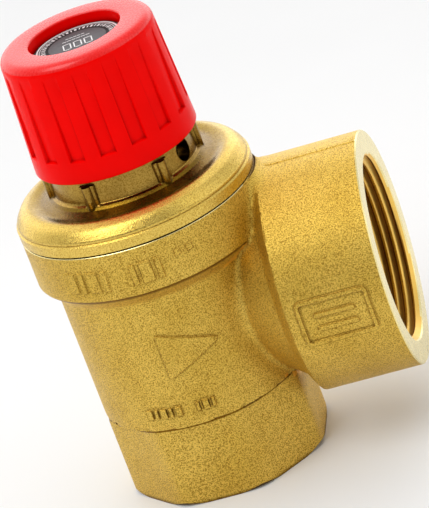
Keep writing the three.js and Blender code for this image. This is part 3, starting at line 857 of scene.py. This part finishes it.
def ribs_and_ramps(radius, height, angle):
    """Raises the stepped ribs on the neck and the lift ramps on its top face."""
    off = from_middle(angle, RIB_FIRST_DEG, RIB_COUNT)
    sideways = np.radians(np.abs(off)) * RIB_SIDE_R
    crown = RIB_CROWN_R + np.sqrt(np.clip(RIB_HALF_WIDTH ** 2 - sideways ** 2, 0, None))
    side = RIB_SIDE_R - RIB_SIDE_DROP * step_between(sideways, 1.9, 2.3)
    rib = np.where(sideways < RIB_HALF_WIDTH, crown, side)
    on_neck = (radius > NECK_R + 0.02) & (radius < 20.6) & (height > 80.4) & (height < RIB_TOP_Z)
    radius = np.where(on_neck, np.maximum(radius, rib), radius)
    climb = (off - LUG_WIDTH_DEG / 2) / LIFT_TURN_DEG
    wrapped = np.where(off < 0, (off + 360 / RIB_COUNT - LUG_WIDTH_DEG / 2) / LIFT_TURN_DEG, climb)
    rise = LIFT_RISE * np.where((wrapped > 0) & (wrapped < 1), wrapped, 0)
    on_top = (height > NECK_TOP_Z - 0.02) & (radius > SPRING_BORE_R + 0.2) & (radius < NECK_R - 0.1)
    return radius, np.where(on_top, height + rise, height)


def vent_drill():
    """A cylinder that goes through one wall of the neck."""
    outline = rounded([(0, 0), (VENT_R, 0), (VENT_R, VENT_LENGTH), (0, VENT_LENGTH)])
    drill = turned("vent_drill", outline, np.linspace(0, 2 * np.pi, 48, endpoint=False))
    turn = Matrix.Rotation(math.radians(VENT_DEG), 4, "Z") @ Matrix.Rotation(math.pi / 2, 4, "Y")
    place_at(drill, Matrix.Translation((0, 0, VENT_Z * MM)) @ turn
             @ Matrix.Translation((0, 0, VENT_LENGTH * MM)))
    return drill


# The knob

CAP_ROOF_Z = 113.4


def make_cap():
    """The knob with its flutes, its recess and the lugs inside that climb the ramps."""
    outline = rounded([
        (18.8, CAP_LOW_Z, 0.3), (CAP_LOW_R, CAP_LOW_Z, 0.7), (CAP_TOP_R, CAP_TOP_Z, 2.4),
        (RECESS_R, CAP_TOP_Z, 0.45), (RECESS_R, 114.7, 0.2), (11.0, 114.7), (11.0, RECESS_FLOOR_Z),
        (7.5, RECESS_FLOOR_Z, 0.2), (7.5, 109.5), (3, 109.5), (3, 107.2), (9.5, 107.2, 0.3),
        (9.5, CAP_ROOF_Z, 0.5), (17.2, CAP_ROOF_Z, 0.4), (17.2, 111.5), (18.8, 108.5),
    ], steps=6)
    rows = [FLUTE_LOW_Z + s for s in (-0.2, -0.07, 0.07, 0.2)]
    rows += [98, 102, 106, 110, 113, 115, 115.7, FLUTE_TOP_Z]
    outline = with_rows(outline, rows, CAP_LOW_R - 2)
    piece = turned("test_knob", outline, cap_angles(), flutes_and_lugs)
    finish(piece, "knob", "cap", "red_plastic", RED, RED_TOP)
    for face in piece.data.polygons:
        # The upward faces of the top take the glossier, pinker copy: a painted sheen
        face.material_index = int(face.normal.z > 0.3 and face.center.z > (CAP_TOP_Z - 3) * MM)
    shade(piece, 30)


def with_rows(outline, heights, least_radius):
    """Adds a point at each height to the outer wall of an outline."""
    points = list(outline)
    for z in heights:
        for i in range(len(points) - 1):
            a, b = points[i], points[i + 1]
            if a[0] > least_radius and b[0] > least_radius and a[1] < z < b[1]:
                points.insert(i + 1, a + (b - a) * (z - a[1]) / (b[1] - a[1]))
                break
    return np.array(points)


def cap_angles():
    """Angles that fall on the edges of the flutes and the lugs, and evenly between them."""
    half = FLUTE_WIDTH_DEG / 2
    pitch = 360 / FLUTE_COUNT
    steps = [-half - 0.35, -half - 0.12, -half + 0.12, -half + 0.35, half - 0.35, half - 0.12,
             half + 0.12, half + 0.35]
    steps += list(np.linspace(-half + 1.2, half - 1.2, 7))
    steps += list(np.linspace(half + 1, pitch - half - 1, 9))
    flutes = [FLUTE_TURN_DEG + pitch * i + s for i in range(FLUTE_COUNT) for s in steps]
    lugs = [RIB_FIRST_DEG + 60 * i + side * (LUG_WIDTH_DEG / 2 + s)
            for i in range(RIB_COUNT) for side in (-1, 1) for s in (-0.1, 0.1)]
    return np.radians(np.unique(np.round(np.array(flutes + lugs) % 360, 3)))


def flutes_and_lugs(radius, height, angle):
    """Sinks the flutes in the wall, and lowers the lugs under the roof."""
    off = np.abs(from_middle(angle, FLUTE_TURN_DEG, FLUTE_COUNT))
    across = 1 - step_between(off, FLUTE_WIDTH_DEG / 2 - 0.3, FLUTE_WIDTH_DEG / 2 + 0.3)
    up = step_between(height, FLUTE_LOW_Z - 0.15, FLUTE_LOW_Z + 0.15)
    up *= 1 - step_between(height, FLUTE_TOP_Z - 1.5, FLUTE_TOP_Z)
    on_wall = (radius > 19.0) & (height > CAP_LOW_Z + 1) & (height < CAP_TOP_Z - 0.6)
    sunk = np.minimum(radius, FLUTE_FLOOR_R - FLUTE_TAPER * (height - FLUTE_LOW_Z))
    radius_out = np.where(on_wall, radius + (sunk - radius) * across * up, radius)
    off_lug = np.abs(from_middle(angle, RIB_FIRST_DEG, RIB_COUNT))
    lug = 1 - step_between(off_lug, LUG_WIDTH_DEG / 2 - 0.12, LUG_WIDTH_DEG / 2)
    under = (np.abs(height - CAP_ROOF_Z) < 0.05) & (radius > 15.4) & (radius < 16.9)
    lug_low = NECK_TOP_Z + 0.3
    return radius_out, np.where(under, height + (lug_low - height) * lug, height)


# The data plate: a white rim, a dark band with ticks and a grey middle with plain bars

GREY_R = 7.4
TICK_BAND = (8.2, 9.3)
THIN_LINE = (9.6, 9.8)
RIM_LINE = (10.1, 10.6)
PRINT_TURN_DEG = 13
STROKE_HALF_WIDTH = 0.16


def make_plate():
    low = RECESS_FLOOR_Z + 0.3
    top = low + 0.8
    rings = [0.0, 2.5, 5.0, 7.2, GREY_R, *TICK_BAND, *THIN_LINE, *RIM_LINE]
    outline = np.array([(0, low), (10.9, low), (11.2, low + 0.2), (11.2, top - 0.15), (11.05, top)]
                       + [(r, top) for r in rings[::-1]])
    piece = turned("data_disc", outline, np.radians(np.arange(0, 360, 2.0)))
    add_dashes(piece, top)
    finish(piece, "knob", "data_plate", "printed_metal", PRINT_GREY, PRINT_BLACK, PRINT_WHITE)
    for face in piece.data.polygons:
        place = face.center / MM
        x, y = place.x - AXIS_X / MM, place.y
        raised = place.z > top + 0.01
        face.material_index = 2 if raised else plate_colour(math.hypot(x, y), math.atan2(y, x))
    shade(piece)


def plate_colour(radius, turn):
    """The material at a place on the plate: 0 grey, 1 black and 2 white."""
    if any(low < radius < high for low, high in (THIN_LINE, RIM_LINE)):
        return 2
    if TICK_BAND[0] < radius < TICK_BAND[1] and int(math.degrees(turn) // 2) % 7 in (0, 1, 4):
        return 2
    return 1 if radius > GREY_R else 0


def add_dashes(piece, top):
    """Adds thin printed strokes: three plain boxes, and a row of dashes behind them."""
    lines = []
    for middle in (-2.7, 0.0, 2.7):
        box = [(middle - 0.9, -3.2), (middle + 0.9, -3.2), (middle + 0.9, 0.6), (middle - 0.9, 0.6)]
        lines += loop(box)
    lines += [((u, 2.6), (u + 0.7, 2.6)) for u in np.arange(-3.4, 3.5, 1.2)]
    lines += [((u, 4.2), (u + 0.5, 4.2)) for u in np.arange(-2.4, 2.5, 1.0)]
    turn = math.radians(PRINT_TURN_DEG)
    work = bmesh.new()
    work.from_mesh(piece.data)
    for start, end in lines:
        along = Vector(end) - Vector(start)
        across = Vector((-along.y, along.x)).normalized() * STROKE_HALF_WIDTH
        along = along.normalized() * STROKE_HALF_WIDTH
        corners = [Vector(start) - along - across, Vector(end) + along - across,
                   Vector(end) + along + across, Vector(start) - along + across]
        rings = []
        for z in (top - 0.05, top + 0.03):
            rings.append([work.verts.new((
                AXIS_X + (c.x * math.cos(turn) - c.y * math.sin(turn)) * MM,
                (c.x * math.sin(turn) + c.y * math.cos(turn)) * MM, z * MM)) for c in corners])
        work.faces.new(rings[0][::-1])
        work.faces.new(rings[1])
        for k in range(4):
            work.faces.new((rings[0][k], rings[0][(k + 1) % 4], rings[1][(k + 1) % 4], rings[1][k]))
    work.to_mesh(piece.data)
    work.free()


# Turned pieces inside the valve: body, slot and the corners of the outline

FINISHES = {"zinc_steel": ZINC, "turned_brass": BRASS, "epdm": RUBBER, "white_plastic": SLIPPERY}
INNER_PIECES = {
    "slip_ring": ("housing", "white_plastic", [
        (22.5, 66.9, 0.2), (26.6, 66.9, 0.2), (26.6, 68, 0.2), (22.5, 68, 0.2)]),
    "upper_spring_plate": ("housing", "zinc_steel", [
        (3, 94.3), (9.4, 94.3), (9.9, 94.8), (9.9, 96.3), (14, 96.3, 0.3), (14, 98.3, 0.3), (3, 98.3)]),
    "spindle": ("lift_stem", "zinc_steel", [
        (0, 69.5), (2.5, 69.5, 0.3), (2.5, 70.4), (1.9, 70.4), (1.9, 72), (2.5, 72), (2.5, 114.5),
        (2, 115), (0, 115)]),
    "lift_washer": ("lift_stem", "zinc_steel", [
        (2.8, 109.8), (7, 109.8, 0.3), (7, 111, 0.3), (2.8, 111)]),
    "disc_holder": ("valve_disc", "turned_brass", [
        (0, 50), (2.3, 50), (2.3, 41.9), (15.8, 41.9), (15.8, 39.5), (18.2, 39.5, 0.3),
        (18.2, 45, 0.6), (16.7, 46.5, 0.6), (8, 46.5, 1.5), (8, 58.5, 1), (13, 60, 0.5), (13, 63, 0.3),
        (5.8, 63), (5.8, 71.8, 0.4), (3.9, 71.8), (3.9, 62), (0, 62)]),
    "seat_seal": ("valve_disc", "epdm", [
        (2.3, 38.3), (15.5, 38.3, 0.4), (15.5, 41.6, 0.4), (2.3, 41.6)]),
    "seal_washer": ("valve_disc", "zinc_steel", [(2.3, 36.6), (8, 36.6, 0.4), (8, 38), (2.3, 38)]),
    "pressure_plate": ("valve_disc", "turned_brass", [
        (6.1, 65.6), (15, 65.6, 1), (19.2, 66, 0.5), (20, 67, 0.5), (19.4, 67.8, 0.3),
        (18.4, 67.2, 0.3), (6.1, 67.2)]),
    "lower_spring_plate": ("valve_disc", "zinc_steel", [
        (9.7, 67.5), (14.6, 67.5, 0.4), (15, 68, 0.3), (15, 71, 0.3), (14.2, 71, 0.3),
        (14.2, 69.2, 0.3), (9.7, 69.2)]),
}


def make_inner_pieces():
    for node, (body, slot, corners) in INNER_PIECES.items():
        piece = turned("turned_" + node, rounded(corners))
        finish(piece, body, node, slot, FINISHES[slot])
        shade(piece)


def make_cad_finishes():
    """The fasteners keep their CAD shape and take a finish."""
    for node, made in {
        "adjusting_nut": BRASS, "spindle_clip": SPRING_STEEL, "spindle_nut": ZINC, "seal_screw": ZINC,
        "diaphragm_nut": BRASS,
    }.items():
        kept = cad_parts[node]
        kept.data.materials.clear()
        kept.data.materials.append(made)


# The spring and the diaphragm, in two parts each

SPRING_R = 12.0
WIRE_R = 1.8
SPRING_LOW_Z = 71.3
SPRING_HIGH_Z = 94.2
SPRING_TURNS = 4.75


def make_spring():
    """The spring in two halves, parted at its middle."""
    middle = (SPRING_LOW_Z + SPRING_HIGH_Z) / 2
    for name, start, end, ends in (
        ("spring_lower", 0.0, 0.5, ("valve_disc", "lift_stem", SPRING_LOW_Z, middle - WIRE_R)),
        ("spring_upper", 0.5, 1.0, ("lift_stem", "housing", middle + WIRE_R, SPRING_HIGH_Z)),
    ):
        piece = coil(name, start, end)
        finish_blended(piece, "spring", "spring_steel", SPRING_STEEL, *ends)
        shade(piece, 60)


def coil(name, start, end, around=16, steps_per_turn=48):
    """The wire between two shares of the spring's length, with a cap at each end."""
    count = round(SPRING_TURNS * (end - start) * steps_per_turn)
    points = []
    for t in np.linspace(start, end, count + 1):
        turn = 2 * math.pi * SPRING_TURNS * t
        z = SPRING_LOW_Z + (SPRING_HIGH_Z - SPRING_LOW_Z) * t
        for k in range(around):
            a = 2 * math.pi * k / around
            r = SPRING_R + WIRE_R * math.cos(a)
            points.append((r * math.cos(turn), r * math.sin(turn), z + WIRE_R * math.sin(a)))
    faces = []
    for i in range(count):
        for k in range(around):
            a, b = i * around + k, i * around + (k + 1) % around
            faces.append((a, b, b + around, a + around))
    last = count * around
    first_middle, last_middle = len(points), len(points) + 1
    points.append(tuple(np.mean(points[:around], axis=0)))
    points.append(tuple(np.mean(points[last:last + around], axis=0)))
    for k in range(around):
        after = (k + 1) % around
        faces.append((first_middle, after, k))
        faces.append((last_middle, last + k, last + after))
    return new_piece(name, points, faces)


def finish_blended(piece, node, slot, made, low_body, high_body, low_z, high_z):
    """Gives a piece its material, hides the CAD part that it stands for and bakes its place into its
    points; the slot, the two bodies and the two heights are not used.
    """
    piece.data.materials.append(made)
    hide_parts(node)
    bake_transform(piece)


# The diaphragm's fold lies below the first height, and its clamped parts, at the disc and at the
# housing, above the others
FOLD_TOP_Z = 63.21
INNER_CLAMP_Z = 63.29
OUTER_CLAMP_Z = 64.4


def make_diaphragm():
    fold = [(15, 0), (16.8, -1.6), (18.6, -2.1)]
    under = [(r, 63.3 + drop) for r, drop in fold]
    over = [(r, 65.3 + drop) for r, drop in fold]
    inner = rounded([(6.1, 63.3), (*under[0], 1.5), (*under[1], 1.5), under[2], over[2], (*over[1], 1.5),
                     (*over[0], 1.5), (6.1, 65.3)])
    outer = rounded([under[2], (20.4, 61.9, 1.5), (22, 64.5, 1), (26.6, 64.5, 0.3), (26.6, 66.5, 0.3),
                     (21.7, 66.5, 1), (20.4, 63.9, 1.5), over[2]])
    for name, outline, ends in (
        ("diaphragm_inner", inner, ("lift_stem", "valve_disc", FOLD_TOP_Z, INNER_CLAMP_Z)),
        ("diaphragm_outer", outer, ("lift_stem", "housing", FOLD_TOP_Z, OUTER_CLAMP_Z)),
    ):
        piece = turned(name, outline)
        finish_blended(piece, "diaphragm", "epdm", RUBBER, *ends)
        shade(piece, 50)


# Floor, light and the camera, at the place that was fitted to the photo

CAMERA_AZIMUTH_DEG = 13.06
CAMERA_ELEVATION_DEG = 22.93
CAMERA_ROLL_DEG = -20.53
CAMERA_DISTANCE = 0.8673
CAMERA_LENS = 248.7
AIM_Z = 0.06024
AIM_RIGHT = 0.01486
AIM_UP = -0.00244
SENSOR_WIDTH = 36
FLOOR_HALF = 6.0
LAMP_AIM_Z = 0.06
# The studio is dark in the first direction, and a grey card stands in the second
DARK_SIDE = (-0.2, -0.95, 0.15)
GREY_CARD = (0.63, 0.55, 0.55)
STUDIO_STRENGTH = 2.12
# Azimuth and elevation in degrees, distance and size in metres, and power in watts
LAMPS = {"key": (-40, 58, 0.9, (0.5, 0.5), 3.2), "side": (70, 40, 0.9, (0.3, 0.6), 0.3)}


def direction(azimuth_deg, elevation_deg):
    """The direction from the valve at an azimuth, which is 0 at -Y and 90 at +X, and elevation."""
    azimuth, elevation = math.radians(azimuth_deg), math.radians(elevation_deg)
    return Vector((math.sin(azimuth) * math.cos(elevation), -math.cos(azimuth) * math.cos(elevation),
                   math.sin(elevation)))


def make_camera():
    back = direction(CAMERA_AZIMUTH_DEG, CAMERA_ELEVATION_DEG)
    roll = math.radians(CAMERA_ROLL_DEG)
    azimuth = math.radians(CAMERA_AZIMUTH_DEG)
    level = Vector((math.cos(azimuth), math.sin(azimuth), 0))
    above = back.cross(level)
    right = math.cos(roll) * level + math.sin(roll) * above
    up = back.cross(right)
    aim = Vector((AXIS_X, 0, AIM_Z)) + right * AIM_RIGHT + up * AIM_UP
    turn = Matrix((right, up, back)).transposed().to_4x4()
    data = bpy.data.cameras.new("camera")
    data.lens = CAMERA_LENS
    data.sensor_width = SENSOR_WIDTH
    camera = bpy.data.objects.new("camera", data)
    camera.matrix_world = Matrix.Translation(aim + back * CAMERA_DISTANCE) @ turn
    bpy.context.collection.objects.link(camera)
    bpy.context.scene.camera = camera


def make_floor():
    made, tree, shader = material("pale_floor", Roughness=0.9)
    tint = ramp(tree, noise(tree, 8), [(0.3, (0.86, 0.86, 0.86)), (0.7, (0.88, 0.88, 0.88))])
    tree.links.new(tint, shader.inputs["Base Color"])
    mesh = bpy.data.meshes.new("floor")
    corners = [(-FLOOR_HALF, -FLOOR_HALF, 0), (FLOOR_HALF, -FLOOR_HALF, 0),
               (FLOOR_HALF, FLOOR_HALF, 0), (-FLOOR_HALF, FLOOR_HALF, 0)]
    mesh.from_pydata(corners, [], [(0, 1, 2, 3)])
    mesh.materials.append(made)
    floor = bpy.data.objects.new("floor", mesh)
    bpy.context.collection.objects.link(floor)


def area_light(name, azimuth_deg, elevation_deg, distance, size, power):
    """A rectangular lamp that looks at the valve from a direction."""
    back = direction(azimuth_deg, elevation_deg)
    data = bpy.data.lights.new(name, "AREA")
    data.shape = "RECTANGLE"
    data.size, data.size_y = size
    data.energy = power
    lamp = bpy.data.objects.new(name, data)
    lamp.location = Vector((0, 0, LAMP_AIM_Z)) + back * distance
    lamp.rotation_euler = back.to_track_quat("Z", "Y").to_euler()
    bpy.context.collection.objects.link(lamp)


def make_light():
    """A white studio, darker in front and with a grey card behind on the right, and two lamps."""
    bpy.context.scene.view_settings.view_transform = "Standard"
    world = bpy.data.worlds.new("studio")
    bpy.context.scene.world = world
    world.use_nodes = True
    tree = world.node_tree
    place = add_node(tree, "TexCoord", {}, "Generated")
    facing = dot(tree, place, DARK_SIDE)
    half = add_node(tree, "MapRange", {"Value": facing, "From Min": -1}, "Result")
    greys = ((0, 1), (0.35, 0.68), (0.55, 0.4), (0.85, 0.19))
    tone = ramp(tree, half, [(at, (grey, grey, grey)) for at, grey in greys])
    card = ramp(tree, dot(tree, place, GREY_CARD), [(0.82, WHITE), (0.95, (0.45, 0.45, 0.45))])
    background = tree.nodes["Background"]
    tree.links.new(multiplied(tree, tone, card), background.inputs["Color"])
    background.inputs["Strength"].default_value = STUDIO_STRENGTH
    for name, values in LAMPS.items():
        area_light(name, *values)


make_floor()
make_light()
make_camera()
make_body()
make_bonnet()
make_cap()
make_plate()
make_inner_pieces()
make_cad_finishes()
make_spring()
make_diaphragm()
